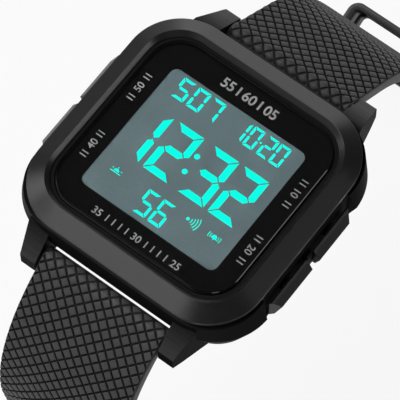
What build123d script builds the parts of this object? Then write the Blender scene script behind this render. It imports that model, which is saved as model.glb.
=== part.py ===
from build123d import *
import math
import os

os.makedirs("parts", exist_ok=True)

# Digital wrist watch standing open on its two strap ends, dial up. Millimetres and degrees.
# The origin is the centre of the case back's outer face, +Z out of the dial,
# +Y towards 12 o'clock and +X towards 3 o'clock.

# General fits
overrun = 1.0  # how far a cutter passes the face that it opens
seat_gap = 0.05  # radial or face clearance of a piece seated in another
running_gap = 0.05  # radial clearance of a shaft in its hole
sliding_gap = 0.2  # clearance of a strap or button in the space it moves in

# Case middle. The movement sets the cavity, and walls, insets and gaps lead outwards from it
cavity_width = 32.0
cavity_length = 30.2
cavity_corner = 3.4
case_side_wall = 6.75
case_end_wall = 6.4
case_corner = 10.2
waist_height = 6.1  # the wall stands out furthest here and leans in above and below
brow_side_inset = 1.15
brow_end_inset = 0.05
brow_corner = 9.0
foot_side_inset = 2.2
foot_end_inset = 2.35
foot_corner = 7.0
strap_scoop_gap = 0.35  # room between a strap's round end and the case
foot_height = 0.5

# Bezel: a frame whose broad band slopes down from the ridge round the glass to the rim
rim_side_inset = 1.5
rim_end_inset = 0.12
rim_corner = 9.6
band_drop = 1.75
band_side = 2.75
band_end = 2.965
ridge_corner = 6.8
mouth_side_inset = 0.7
mouth_end_inset = 0.815
mouth_corner = 6.3
mouth_drop = 0.75
rim_side = 0.9
shadow_step = 0.8
shadow_height = 0.35
spigot_margin = 2.5
spigot_depth = 0.8
ledge_side = 3.0
ledge_end = 3.3
ledge_corner = 2.0

# Glass, its printed mask and its gasket
gasket_width = 0.55
glass_corner = 5.8
glass_thickness = 1.2
glass_below_ridge = 0.4
glass_bevel = 0.35
mask_thickness = 0.15
mask_margin = 0.2
mask_side = 4.3
mask_end = 4.75
window_corner = 1.3
window_shift = -0.3  # the window sits a little towards 6 o'clock
gasket_height = 0.65

# Case back, its seal and screws
back_side_lip = 3.2
back_end_lip = 2.7
back_corner = 4.0
back_thickness = 1.3
back_edge = 0.3
seal_width = 0.6
seal_height = 0.5
seal_margin = 0.35
screw_inset = 2.2  # screw axis in from the case back's edges
screw_radius = 0.55
screw_head_radius = 1.1
screw_head_height = 0.6
screw_length = 4.2
screw_slot_width = 0.35
screw_slot_depth = 0.3

# Lugs, one pair at each end. Pasts are beyond the case's end, insets short of it,
# spreads outside the strap gap and the rest are heights above the case back
strap_side_gap = 0.25  # the lugs stand this far off the strap, which makes a 24 mm gap
lug_root_spread = 5.7
lug_tip_spread = 2.9
lug_root_inset = 6.5
lug_rounding = 0.5
upper_lug_top = 9.75
upper_shoulder_past = 0.3
upper_tip_past = 6.6
upper_lug_tip_top = 4.55
lower_lug_top = 8.9
lower_shoulder_past = -0.3
lower_tip_past = 3.85
lower_lug_tip_top = 4.3
lug_tip_height = 2.9
lug_underside = 1.2
lug_heel = 2.0

# Spring bars
bar_radius = 0.9
bar_tip_radius = 0.5
bar_tip_length = 1.3
bar_shoulder_gap = 0.15
upper_bar_past = 3.7
upper_bar_height = 5.5
lower_bar_past = 1.5
lower_bar_height = 3.9

# Buttons. Depths are measured outwards from the button's flat back
button_length = 9.35
button_split = 1.8  # clear space between the two buttons of a side
button_lift = 0.6  # the button's back off the recess floor, more than its travel
button_brow_depth = 0.3
button_ridge_depth = 0.6
button_face_depth = 1.55
button_chin_depth = 0.7
button_top = 8.4
button_ridge_height = 8.1
button_face_height = 6.4
button_bottom = 4.2
button_end_slope = 1.5
stem_radius = 0.8
stem_height = 6.3
stem_tail = 0.5  # how far the stem reaches into the case
recess_depth = 1.45
recess_bottom = 3.7
recess_end_room = 0.7
recess_flare = 0.75  # how much longer the recess is at the case's outer face, at each end
rib_width = 1.3
rib_rise = 0.95
rib_height = 8.7

# Button seal, spring and clip
seal_ring_section = 0.25
seal_pocket_depth = 0.8
spring_radius = 1.4
spring_wire = 0.11
spring_turns = 1.25
spring_pocket_radius = 1.65
spring_pocket_depth = 0.25
clip_radius = 1.5
clip_thickness = 0.3
clip_groove_radius = 0.55
clip_mouth = 0.9

# Display and movement
panel_gap = 0.3
panel_thickness = 1.5
light_side_inset = 1.0
light_end_inset = 1.8
light_thickness = 0.8
connector_inset = 2.5
connector_width = 1.2
module_side_gap = 1.1
module_end_gap = 0.3
module_corner = 2.6
module_bottom = 3.2
module_web = 1.6
module_side_wall = 0.8
module_end_wall = 1.2
board_thickness = 0.8
chip_radius = 3.5
chip_height = 1.0
chip_side_inset = 7.6  # centre in from the board's edges
chip_end_inset = 6.6
crystal_can_radius = 0.75
crystal_can_length = 5.1
crystal_can_side_inset = 7.1  # centre in from the board's edges
crystal_can_end_inset = 2.4
cell_radius = 10.0
cell_height = 1.6
cell_cap_radius = 8.6
cell_cap_height = 0.25
cell_bottom = 3.7
cell_headroom = 1.55  # cell to board
tray_height = 1.2
tray_gap = 0.3
battery_strap_inset = 1.1
battery_strap_width = 7.0
battery_strap_thickness = 0.25
battery_dimple_radius = 2.0
buzzer_radius = 9.0
buzzer_brass = 0.2
buzzer_ceramic_radius = 6.5
buzzer_ceramic = 0.15
buzzer_side_gap = 3.6
buzzer_end_gap = 2.7
contact_offset = 8.6
contact_radius = 0.8
contact_wire = 0.14
contact_turns = 3.0
contact_hole_radius = 1.3

# Strap: two curved moulded halves, described by their middle line
strap_width = 23.5
strap_thickness = 2.7
strap_bevel = 0.55
strap_end_radius = 2.2
upper_strap_degrees = 38.0  # below level
upper_strap_lead = 12.0
upper_knuckle_radius = 36.0
upper_knuckle_degrees = 24.0
upper_side_radius = 260.0
upper_side_degrees = 6.0
lower_strap_degrees = 41.0
lower_strap_lead = 3.0
lower_knuckle_radius = 28.0
lower_knuckle_degrees = 20.0
lower_side_radius = 35.5
lower_side_degrees = 36.0
lower_run_radius = 420.0
lower_run_degrees = 4.2
lower_foot_radius = 17.5
lower_foot_degrees = 78.8
lower_strap_tail = 1.0
strap_tip_corner = 9.0
strap_hole_width = 2.6
strap_hole_length = 3.8
strap_hole_pitch = 6.2
strap_hole_count = 8
strap_first_hole = 20.0  # from the tip

# Buckle
buckle_reach = 12.7  # bar to the far face of the crossbar
buckle_crossbar = 3.0
buckle_arm = 2.2
buckle_depth = 2.4
buckle_corner = 1.6
buckle_bar_radius = 0.8
buckle_boss_radius = 1.7
strap_loop_radius = 1.9
tongue_slot_width = 5.0
tongue_slot_length = 4.5
tongue_width = 2.4
tongue_barrel_radius = 1.6
tongue_barrel_width = 4.4
tongue_thickness = 1.4
tongue_rest_gap = 0.1

# Keepers
keeper_wall = 1.25
keeper_length = 5.0
keeper_corner = 1.0
keeper_tail_room = 3.1
keeper_slack = 0.45  # inner room that lets the free keeper ride up the strap's bend
fixed_keeper_start = 4.9  # from the buckle bar
free_keeper_start = 10.2

# Widths and lengths that follow from the sizes above
case_width = cavity_width + 2 * case_side_wall
case_length = cavity_length + 2 * case_end_wall
foot_width = case_width - 2 * foot_side_inset
foot_length = case_length - 2 * foot_end_inset
brow_width = case_width - 2 * brow_side_inset
brow_length = case_length - 2 * brow_end_inset
rim_width = case_width - 2 * rim_side_inset
rim_length = case_length - 2 * rim_end_inset
ridge_width = rim_width - 2 * band_side
ridge_length = rim_length - 2 * band_end
mouth_width = ridge_width - 2 * mouth_side_inset
mouth_length = ridge_length - 2 * mouth_end_inset
glass_width = mouth_width - 2 * gasket_width
glass_length = mouth_length - 2 * gasket_width
ledge_width = mouth_width - 2 * ledge_side
ledge_length = mouth_length - 2 * ledge_end
window_width = glass_width - 2 * mask_side
window_length = glass_length - 2 * mask_end
back_width = cavity_width + 2 * back_side_lip
back_length = cavity_length + 2 * back_end_lip
panel_width = ledge_width - 2 * panel_gap
panel_length = ledge_length - 2 * panel_gap
light_width = panel_width - 2 * light_side_inset
light_length = panel_length - 2 * light_end_inset
connector_length = panel_width - 2 * connector_inset
connector_reach = (panel_length - connector_width) / 2
module_width = cavity_width - 2 * module_side_gap
module_length = cavity_length - 2 * module_end_gap
board_width = module_width - 2 * module_side_wall
board_length = module_length - 2 * module_end_wall
battery_strap_length = board_width - 2 * battery_strap_inset
crystal_can_x = board_width / 2 - crystal_can_side_inset
crystal_can_y = board_length / 2 - crystal_can_end_inset
chip_x = chip_side_inset - board_width / 2
chip_y = board_length / 2 - chip_end_inset
buzzer_x = cavity_width / 2 - buzzer_radius - buzzer_side_gap
buzzer_y = buzzer_radius + buzzer_end_gap - cavity_length / 2

# Heights, stacked from the coin cell up to the ridge round the glass
board_bottom = cell_bottom + cell_height + cell_headroom
board_top = board_bottom + board_thickness
light_bottom = board_top + module_web
light_top = light_bottom + light_thickness
panel_bottom = light_top + seat_gap
panel_top = panel_bottom + panel_thickness
mask_bottom = panel_top + seat_gap
glass_bottom = mask_bottom + mask_thickness
glass_top = glass_bottom + glass_thickness
ridge_height = glass_top + glass_below_ridge
rim_height = ridge_height - band_drop
bezel_shoulder = rim_height - rim_side
case_top = bezel_shoulder - shadow_height
strap_half = strap_thickness / 2
recess_floor = case_width / 2 - recess_depth
rib_reach = recess_floor + rib_rise
button_back = recess_floor + button_lift
button_brow = button_back + button_brow_depth
button_ridge = button_back + button_ridge_depth
button_face = button_back + button_face_depth
button_chin = button_back + button_chin_depth
stem_inner_end = cavity_width / 2 - stem_tail
upper_bar_reach = case_length / 2 + upper_bar_past
lower_bar_reach = case_length / 2 + lower_bar_past
lug_inner = strap_width / 2 + strap_side_gap
lug_outer_root = lug_inner + lug_root_spread
lug_outer_tip = lug_inner + lug_tip_spread
lug_root_reach = case_length / 2 - lug_root_inset
upper_strap_bends = (
    (upper_knuckle_radius, upper_knuckle_degrees),
    (upper_side_radius, upper_side_degrees),
)
lower_strap_bends = (
    (lower_knuckle_radius, lower_knuckle_degrees),
    (lower_side_radius, lower_side_degrees),
    (lower_run_radius, lower_run_degrees),
    (lower_foot_radius, lower_foot_degrees),
)


def slab(width, length, corner, bottom, top, y=0):
    """A plate with rounded corners between two heights."""
    outline = Pos(0, y, bottom) * RectangleRounded(width, length, corner)
    return extrude(outline, amount=top - bottom)


def sloped(lower, upper):
    """A solid whose walls run straight from one rounded outline to another."""
    faces = [Pos(0, 0, height) * RectangleRounded(*size) for size, height in (lower, upper)]
    return loft(faces, ruled=True)


def rod(radius, start, end, centre, axis=Axis.X):
    """A round rod along X or Z from start to end."""
    length = end - start
    if axis == Axis.Z:
        return Pos(centre[0], centre[1], start + length / 2) * Cylinder(radius, length)
    return Pos(start + length / 2, centre[0], centre[1]) * Rot(0, 90, 0) * Cylinder(radius, length)


def coil(radius, wire, height, turns):
    """A spring standing on the XY plane, its wire inside the height."""
    rise = height - 2 * wire
    line = Pos(0, 0, wire) * Helix(pitch=rise / turns, height=rise, radius=radius)
    section = Plane(origin=line @ 0, z_dir=line % 0) * RegularPolygon(wire, 4)
    return sweep(section, path=line, is_frenet=True)


def bezel():
    band = sloped(
        ((rim_width, rim_length, rim_corner), rim_height),
        ((ridge_width, ridge_length, ridge_corner), ridge_height),
    )
    side = slab(rim_width, rim_length, rim_corner, bezel_shoulder, rim_height)
    step = slab(
        rim_width - 2 * shadow_step, rim_length - 2 * shadow_step, rim_corner - shadow_step,
        case_top, bezel_shoulder,
    )
    spigot = slab(
        ridge_width - spigot_margin, ridge_length - spigot_margin, ridge_corner,
        case_top - spigot_depth, case_top,
    )
    mouth = sloped(
        ((mouth_width, mouth_length, mouth_corner), ridge_height - mouth_drop),
        ((ridge_width, ridge_length, ridge_corner), ridge_height),
    )
    seat = slab(mouth_width, mouth_length, mouth_corner, mask_bottom, ridge_height - mouth_drop)
    window = slab(ledge_width, ledge_length, ledge_corner, case_top - spigot_depth - overrun, mask_bottom)
    relief = slab(
        module_width + 2 * sliding_gap, module_length + 2 * sliding_gap, module_corner,
        case_top - spigot_depth - overrun, panel_bottom + seat_gap,
    )
    return band + side + step + spigot - mouth - seat - window - relief


def glass():
    body = slab(glass_width, glass_length, glass_corner, glass_bottom, glass_top)
    return chamfer(body.edges().group_by(Axis.Z)[-1], glass_bevel)


def printed_mask():
    sheet = slab(
        glass_width - 2 * mask_margin, glass_length - 2 * mask_margin, glass_corner - mask_margin,
        mask_bottom, glass_bottom,
    )
    return sheet - slab(window_width, window_length, window_corner, mask_bottom, glass_bottom, window_shift)


def glass_gasket():
    ring = slab(mouth_width, mouth_length, mouth_corner, glass_bottom, glass_bottom + gasket_height)
    return ring - slab(glass_width, glass_length, glass_corner, glass_bottom, glass_bottom + gasket_height)


def lug(side, tip_past, tip_top, top, shoulder_past, end):
    """One lug: its plan outline cut by its side outline. end is 1 at 12 o'clock and -1 at 6."""
    reach_tip = case_length / 2 + tip_past
    shoulder = case_length / 2 + shoulder_past
    plan = make_face(Polyline(
        (side * lug_inner, end * lug_root_reach),
        (side * lug_inner, end * reach_tip),
        (side * lug_outer_tip, end * reach_tip),
        (side * lug_outer_root, end * lug_root_reach),
        close=True,
    ))
    tip_bottom = tip_top - lug_tip_height
    outline = Plane.YZ * make_face(Polyline(
        (end * lug_root_reach, lug_underside),
        (end * lug_root_reach, top),
        (end * shoulder, top),
        (end * (reach_tip - lug_rounding), tip_top + lug_rounding),
        (end * reach_tip, tip_top),
        (end * reach_tip, tip_bottom),
        (end * (reach_tip - lug_heel), lug_underside),
        close=True,
    ))
    return extrude(plan, amount=ridge_height) & extrude(outline, amount=case_width, both=True)


def button_places():
    """Each button's name, side and centre along the case."""
    offset = (button_split + button_length) / 2
    return [
        ("upper_left", -1, offset), ("lower_left", -1, -offset),
        ("upper_right", 1, offset), ("lower_right", 1, -offset),
    ]


def button_recess(side):
    """The scoop in one side of the case that two buttons stand in, less the rib between them."""
    floor_half = button_split / 2 + button_length + recess_end_room
    mouth = case_width / 2 + overrun
    mouth_half = floor_half + recess_flare * (mouth - recess_floor) / recess_depth
    plan = make_face(Polyline(
        (side * recess_floor, -floor_half),
        (side * mouth, -mouth_half),
        (side * mouth, mouth_half),
        (side * recess_floor, floor_half),
        close=True,
    ))
    scoop = Pos(0, 0, recess_bottom) * extrude(plan, amount=case_top + overrun - recess_bottom)
    rib = Pos(side * (recess_floor + rib_reach) / 2, 0, (recess_bottom + rib_height) / 2) * Box(
        rib_reach - recess_floor, rib_width, rib_height - recess_bottom
    )
    return scoop - rib


def screw_places():
    return [
        (x * (back_width / 2 - screw_inset), y * (back_length / 2 - screw_inset))
        for x in (-1, 1) for y in (-1, 1)
    ]


def seal_ring(bottom):
    inner = 2 * seal_margin
    outer = inner + 2 * seal_width
    ring = slab(cavity_width + outer, cavity_length + outer, cavity_corner + outer / 2, bottom, bottom + seal_height)
    return ring - slab(
        cavity_width + inner, cavity_length + inner, cavity_corner + inner / 2, bottom, bottom + seal_height
    )


def case_middle():
    waist = ((case_width, case_length, case_corner), waist_height)
    body = sloped(((foot_width, foot_length, foot_corner), foot_height), waist)
    body += sloped(waist, ((brow_width, brow_length, brow_corner), case_top))
    for side in (-1, 1):
        body += lug(side, upper_tip_past, upper_lug_tip_top, upper_lug_top, upper_shoulder_past, 1)
        body += lug(side, lower_tip_past, lower_lug_tip_top, lower_lug_top, lower_shoulder_past, -1)
        body -= button_recess(side)
    body -= slab(cavity_width, cavity_length, cavity_corner, 0, case_top + overrun)
    body -= slab(
        ridge_width - spigot_margin + 2 * seat_gap, ridge_length - spigot_margin + 2 * seat_gap,
        ridge_corner + seat_gap, case_top - spigot_depth, case_top + overrun,
    )
    body -= slab(back_width, back_length, back_corner, 0, back_thickness)
    body -= seal_ring(back_thickness)
    hole_end = screw_length + seat_gap
    for x, y in screw_places():
        body -= rod(screw_radius + running_gap, 0, hole_end, (x, y), Axis.Z)
    for name, side, y in button_places():
        ends = sorted((side * (cavity_width / 2 - overrun), side * (recess_floor + overrun)))
        body -= rod(stem_radius + running_gap, *ends, (y, stem_height))
        ends = sorted((side * (recess_floor - seal_pocket_depth), side * recess_floor))
        body -= rod(seal_pocket_radius(), *ends, (y, stem_height))
    tip_hole = lug_inner + bar_tip_length + running_gap
    for y, z in ((upper_bar_reach, upper_bar_height), (-lower_bar_reach, lower_bar_height)):
        body -= rod(bar_tip_radius + running_gap, -tip_hole, tip_hole, (y, z))
        body -= rod(strap_end_radius + strap_scoop_gap, -lug_inner, lug_inner, (y, z))
    return body


def seal_pocket_radius():
    return stem_radius + 2 * running_gap + 2 * seal_ring_section


def button_seals():
    rings = []
    bore = stem_radius + running_gap
    depth = 2 * seal_ring_section
    for name, side, y in button_places():
        ends = sorted((side * (recess_floor - running_gap - depth), side * (recess_floor - running_gap)))
        ring = rod(bore + depth, *ends, (y, stem_height)) - rod(bore, *ends, (y, stem_height))
        rings.append(ring)
    return Compound(children=rings)


def button(side, y):
    outline = Plane.XZ * make_face(Polyline(
        (button_back, button_bottom),
        (button_chin, button_bottom),
        (button_face, button_face_height),
        (button_ridge, button_ridge_height),
        (button_brow, button_top),
        (button_back, button_top),
        close=True,
    ))
    cap = extrude(outline, amount=button_length / 2, both=True)
    outward = 1 if y > 0 else -1
    corner = make_face(Polyline(
        (button_face + overrun, outward * (button_length / 2 - button_end_slope - overrun)),
        (button_face + overrun, outward * (button_length / 2 + overrun)),
        (button_face - button_end_slope, outward * (button_length / 2 + overrun)),
        (button_face - button_end_slope, outward * button_length / 2),
        (button_face, outward * (button_length / 2 - button_end_slope)),
        close=True,
    ))
    cap -= extrude(corner, amount=ridge_height)
    pocket = rod(spring_pocket_radius, button_back, button_back + spring_pocket_depth, (0, stem_height))
    stem = rod(stem_radius, stem_inner_end, button_back + spring_pocket_depth, (0, stem_height))
    groove_start = stem_inner_end + seat_gap
    groove = rod(stem_radius, groove_start, groove_start + clip_thickness, (0, stem_height))
    core = rod(clip_groove_radius, groove_start, groove_start + clip_thickness, (0, stem_height))
    whole = cap - pocket + stem - (groove - core)
    if side < 0:
        whole = mirror(whole, about=Plane.YZ)
    return Pos(0, y, 0) * whole


def button_spring(side, y):
    height = button_back + spring_pocket_depth - recess_floor
    spring = Pos(recess_floor, 0, stem_height) * Rot(0, 90, 0) * coil(
        spring_radius, spring_wire, height, spring_turns
    )
    if side < 0:
        spring = mirror(spring, about=Plane.YZ)
    return Pos(0, y, 0) * spring


def button_clip(side, y):
    start = stem_inner_end + seat_gap
    ring = rod(clip_radius, start, start + clip_thickness, (0, stem_height))
    ring -= rod(clip_groove_radius, start, start + clip_thickness, (0, stem_height))
    mouth = Pos(start + clip_thickness / 2, 0, stem_height - clip_radius / 2) * Box(
        clip_thickness, clip_mouth, clip_radius
    )
    ring -= mouth
    if side < 0:
        ring = mirror(ring, about=Plane.YZ)
    return Pos(0, y, 0) * ring


def case_back():
    plate = slab(
        back_width - 2 * seat_gap, back_length - 2 * seat_gap, back_corner - seat_gap, 0, back_thickness
    )
    plate = chamfer(plate.edges().group_by(Axis.Z)[0], back_edge)
    for x, y in screw_places():
        plate -= rod(screw_head_radius + seat_gap, 0, screw_head_height, (x, y), Axis.Z)
        plate -= rod(screw_radius + running_gap, 0, back_thickness, (x, y), Axis.Z)
    return plate


def case_back_screws():
    screws = []
    for x, y in screw_places():
        screw = rod(screw_head_radius, 0, screw_head_height, (x, y), Axis.Z)
        screw += rod(screw_radius, 0, screw_length, (x, y), Axis.Z)
        for turn in (0, 90):
            screw -= Pos(x, y, screw_slot_depth / 2) * Rot(0, 0, turn) * Box(
                screw_slot_width, 1.4 * screw_head_radius, screw_slot_depth
            )
        screws.append(screw)
    return Compound(children=screws)


def spring_bar(reach, height):
    shoulder = lug_inner - bar_shoulder_gap
    bar = rod(bar_radius, -shoulder, shoulder, (reach, height))
    return bar + rod(bar_tip_radius, -lug_inner - bar_tip_length, lug_inner + bar_tip_length, (reach, height))


def lcd_panel():
    return slab(panel_width, panel_length, ledge_corner - seat_gap, panel_bottom, panel_top)


def backlight():
    return slab(light_width, light_length, module_corner / 2, light_bottom, light_top)


def connector_slots(gap, bottom, top):
    strips = []
    for end in (-1, 1):
        strips.append(Pos(0, end * connector_reach, (bottom + top) / 2) * Box(
            connector_length + 2 * gap, connector_width + 2 * gap, top - bottom
        ))
    return strips


def connectors():
    return Compound(children=connector_slots(0, board_top, panel_bottom))


def module_frame():
    frame = slab(module_width, module_length, module_corner, module_bottom, panel_bottom)
    frame -= slab(
        light_width + 2 * seat_gap, light_length + 2 * seat_gap, module_corner / 2 + seat_gap,
        light_bottom, panel_bottom + overrun,
    )
    frame -= slab(
        board_width + 2 * seat_gap, board_length + 2 * seat_gap, module_corner / 2,
        module_bottom - overrun, board_top,
    )
    for slot in connector_slots(seat_gap, board_top - overrun, panel_bottom + overrun):
        frame -= slot
    return frame


def circuit_board():
    return slab(board_width, board_length, module_corner / 2 - seat_gap, board_bottom, board_top)


def chip_cover():
    body = rod(chip_radius, board_bottom - chip_height, board_bottom, (chip_x, chip_y), Axis.Z)
    return chamfer(body.edges().group_by(Axis.Z)[0], chip_height / 2)


def quartz_can():
    ends = (crystal_can_x - crystal_can_length / 2, crystal_can_x + crystal_can_length / 2)
    return rod(crystal_can_radius, *ends, (crystal_can_y, board_bottom - crystal_can_radius))


def coin_cell():
    top = cell_bottom + cell_height
    cell = rod(cell_cap_radius, cell_bottom + cell_height - cell_cap_height, top, (0, 0), Axis.Z)
    return cell + rod(cell_radius, cell_bottom, top - cell_cap_height, (0, 0), Axis.Z)


def battery_tray():
    tray = slab(
        board_width, board_length, module_corner / 2 - seat_gap, module_bottom, module_bottom + tray_height
    )
    tray -= rod(cell_radius + tray_gap, module_bottom, module_bottom + tray_height, (0, 0), Axis.Z)
    hole = (contact_offset, -contact_offset)
    return tray - rod(contact_hole_radius, module_bottom, module_bottom + tray_height, hole, Axis.Z)


def battery_clip():
    bottom = module_bottom - battery_strap_thickness
    strap = Pos(0, 0, (bottom + module_bottom) / 2) * Box(
        battery_strap_length, battery_strap_width, battery_strap_thickness
    )
    return strap + rod(battery_dimple_radius, bottom, cell_bottom, (0, 0), Axis.Z)


def buzzer():
    centre = (buzzer_x, buzzer_y)
    disc = rod(buzzer_radius, back_thickness, back_thickness + buzzer_brass, centre, Axis.Z)
    top = back_thickness + buzzer_brass + buzzer_ceramic
    return disc + rod(buzzer_ceramic_radius, back_thickness, top, centre, Axis.Z)


def buzzer_contact():
    bottom = back_thickness + buzzer_brass
    spring = coil(contact_radius, contact_wire, board_bottom - bottom, contact_turns)
    return Pos(contact_offset, -contact_offset, bottom) * spring


def strap_line(reach, height, heading, lead, bends, tail):
    """The middle line of a strap half in a Y-Z plane: a straight lead, bends, a straight tail.

    The heading is in degrees below level, and the line runs away from the case along +Y.
    """
    start = Vector(reach, height)
    way = Vector(math.cos(math.radians(heading)), -math.sin(math.radians(heading)))
    pieces = [Line(start, start + way * lead)]
    for radius, turn in bends:
        pieces.append(JernArc(pieces[-1] @ 1, pieces[-1] % 1, radius, -turn))
    end = pieces[-1] @ 1
    pieces.append(Line(end, end + (pieces[-1] % 1) * tail))
    return pieces


def strap_band(pieces):
    """The strap's bevelled section carried along its middle line."""
    path = Plane.YZ * Wire(pieces)
    section = Plane(origin=path @ 0, x_dir=(1, 0, 0), z_dir=path % 0) * chamfer(
        Rectangle(strap_width, strap_thickness).vertices(), strap_bevel
    )
    return sweep(section, path=path), path


def lower_pieces():
    return strap_line(
        lower_bar_reach, lower_bar_height, lower_strap_degrees, lower_strap_lead,
        lower_strap_bends, lower_strap_tail,
    )


def floor_height():
    """The level that the lower half's flat tail lies on."""
    return (lower_pieces()[-1] @ 1).Y - strap_half


def buckle_lean():
    """How far the buckle end of the upper half leans out from upright."""
    return 90 - upper_strap_degrees - upper_knuckle_degrees - upper_side_degrees


def upper_pieces():
    """The upper half's middle line, its last run as long as it takes to stand the crossbar on the floor."""
    curved = strap_line(
        upper_bar_reach, upper_bar_height, upper_strap_degrees, upper_strap_lead, upper_strap_bends,
        strap_thickness,
    )[:-1]
    lean = math.radians(buckle_lean())
    bar_height = floor_height() + buckle_reach * math.cos(lean) + buckle_depth / 2 * math.sin(lean)
    start = curved[-1] @ 1
    run = (start.Y - bar_height) / math.cos(lean)
    return curved + [Line(start, start + (curved[-1] % 1) * run)]


def buckle_bar_place():
    """Reach and height of the buckle bar."""
    end = upper_pieces()[-1] @ 1
    return end.X, end.Y


def at_buckle():
    """Moves what is drawn round an upright buckle bar at the origin onto the strap's leaning end."""
    reach, height = buckle_bar_place()
    return Pos(0, reach, height) * Rot(buckle_lean(), 0, 0)


def strap_upper():
    band, path = strap_band(upper_pieces())
    reach, height = buckle_bar_place()
    half = strap_width / 2
    band += rod(strap_end_radius, -half, half, (upper_bar_reach, upper_bar_height))
    band += rod(strap_loop_radius, -half, half, (reach, height))
    band -= rod(bar_radius + running_gap, -half, half, (upper_bar_reach, upper_bar_height))
    band -= rod(buckle_bar_radius + running_gap, -half, half, (reach, height))
    slot = Pos(0, 0, tongue_slot_length / 2 - strap_loop_radius) * Box(
        tongue_slot_width, 2 * strap_loop_radius + overrun, tongue_slot_length + 2 * strap_loop_radius
    )
    return band - at_buckle() * slot


def strap_lower():
    pieces = lower_pieces()
    band, path = strap_band(pieces)
    half = strap_width / 2
    band += rod(strap_end_radius, -half, half, (lower_bar_reach, lower_bar_height))
    band -= rod(bar_radius + running_gap, -half, half, (lower_bar_reach, lower_bar_height))
    for number in range(strap_hole_count):
        along = path.length - strap_first_hole - number * strap_hole_pitch
        place = path.position_at(along, position_mode=PositionMode.LENGTH)
        way = path.tangent_at(along, position_mode=PositionMode.LENGTH)
        level = Plane(origin=place, x_dir=way, z_dir=way.cross(Vector(1, 0, 0)))
        hole = level * SlotOverall(strap_hole_length, strap_hole_width)
        band -= extrude(hole, amount=strap_thickness, both=True)
    tip = pieces[-1] @ 1
    frame = Pos(0, tip.X + strap_tip_corner, tip.Y - strap_thickness) * Rectangle(
        strap_width + overrun, 2 * strap_tip_corner
    )
    kept = Pos(0, tip.X + 2 * strap_tip_corner, tip.Y - strap_thickness) * RectangleRounded(
        strap_width + overrun, 4 * strap_tip_corner, strap_tip_corner
    )
    band -= extrude(frame - kept, amount=2 * strap_thickness)
    return mirror(band, about=Plane.XZ)


def keeper(start, inner_gap):
    """A loop round the upper half, with room outside it for the other half's tail."""
    width = strap_width + 2 * sliding_gap
    inner = -strap_half - inner_gap
    outer = strap_half + keeper_tail_room
    depth = outer - inner
    middle = (inner + outer) / 2
    hole = RectangleRounded(width, depth, keeper_corner / 2)
    rim = RectangleRounded(width + 2 * keeper_wall, depth + 2 * keeper_wall, keeper_corner + keeper_wall)
    return at_buckle() * extrude(Pos(0, middle, start) * (rim - hole), amount=keeper_length)


def buckle_frame():
    inner = strap_width / 2 + sliding_gap
    outer = inner + buckle_arm
    window_height = buckle_reach - buckle_crossbar
    plate = Pos(0, -buckle_reach / 2) * Rectangle(2 * outer, buckle_reach)
    plate = fillet(plate.vertices().group_by(Axis.Y)[0], buckle_corner)
    plate -= Pos(0, -window_height / 2) * Rectangle(2 * inner, window_height)
    frame = extrude(Plane(origin=(0, 0, 0), x_dir=(1, 0, 0), z_dir=(0, -1, 0)) * plate,
                    amount=buckle_depth / 2, both=True)
    for side in (-1, 1):
        ends = sorted((side * inner, side * outer))
        frame += rod(buckle_boss_radius, *ends, (0, 0))
    return at_buckle() * (frame - rod(buckle_bar_radius, -outer, outer, (0, 0)))


def buckle_bar():
    reach, height = buckle_bar_place()
    outer = strap_width / 2 + sliding_gap + buckle_arm
    return rod(buckle_bar_radius, -outer, outer, (reach, height))


def buckle_tongue():
    """A barrel on the buckle bar and a shank that lies over the crossbar, seen in depth and drop."""
    rest = buckle_depth / 2 + tongue_rest_gap
    bend = buckle_reach - buckle_crossbar - tongue_rest_gap
    tip = buckle_reach - tongue_rest_gap
    outline = Plane.YZ * make_face(Polyline(
        (-tongue_thickness / 2, 0),
        (rest, -bend),
        (rest, -tip),
        (rest + tongue_thickness / 2, -tip),
        (rest + tongue_thickness, -tip + tongue_thickness),
        (rest + tongue_thickness, -bend + tongue_thickness),
        (tongue_barrel_radius - tongue_rest_gap, 0),
        close=True,
    ))
    shank = extrude(outline, amount=tongue_width / 2, both=True)
    half = tongue_barrel_width / 2
    tongue = shank + rod(tongue_barrel_radius, -half, half, (0, 0))
    return at_buckle() * (tongue - rod(buckle_bar_radius + running_gap, -half, half, (0, 0)))


nodes = {
    "bezel": bezel(),
    "crystal": glass(),
    "printed_mask": printed_mask(),
    "crystal_gasket": glass_gasket(),
    "case_middle": case_middle(),
    "lcd_panel": lcd_panel(),
    "backlight_panel": backlight(),
    "display_connectors": connectors(),
    "module_frame": module_frame(),
    "circuit_board": circuit_board(),
    "chip_cover": chip_cover(),
    "quartz_can": quartz_can(),
    "coin_cell": coin_cell(),
    "battery_tray": battery_tray(),
    "battery_clip": battery_clip(),
    "buzzer_disc": buzzer(),
    "buzzer_contact": buzzer_contact(),
    "case_back_seal": seal_ring(back_thickness),
    "case_back": case_back(),
    "case_back_screws": case_back_screws(),
    "button_seals": button_seals(),
    "spring_bar_upper": spring_bar(upper_bar_reach, upper_bar_height),
    "spring_bar_lower": spring_bar(-lower_bar_reach, lower_bar_height),
    "strap_upper": strap_upper(),
    "strap_lower": strap_lower(),
    "keeper_fixed": keeper(fixed_keeper_start, 0),
    "keeper_free": keeper(free_keeper_start, keeper_slack),
    "buckle_frame": buckle_frame(),
    "buckle_bar": buckle_bar(),
    "buckle_tongue": buckle_tongue(),
}
for name, side, y in button_places():
    nodes["button_" + name] = button(side, y)
    nodes["button_spring_" + name] = button_spring(side, y)
    nodes["button_clip_" + name] = button_clip(side, y)

for name, shape in nodes.items():
    export_step(shape, "parts/" + name + ".step")

reach, height = buckle_bar_place()
print("floor height", round(floor_height(), 3))
print("buckle bar at y", round(reach, 3), "z", round(height, 3))
print("lower strap tip at y", round(-(lower_pieces()[-1] @ 1).X, 3))
print("upper straight run from z", round((upper_pieces()[-1] @ 0).Y, 3))
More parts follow.
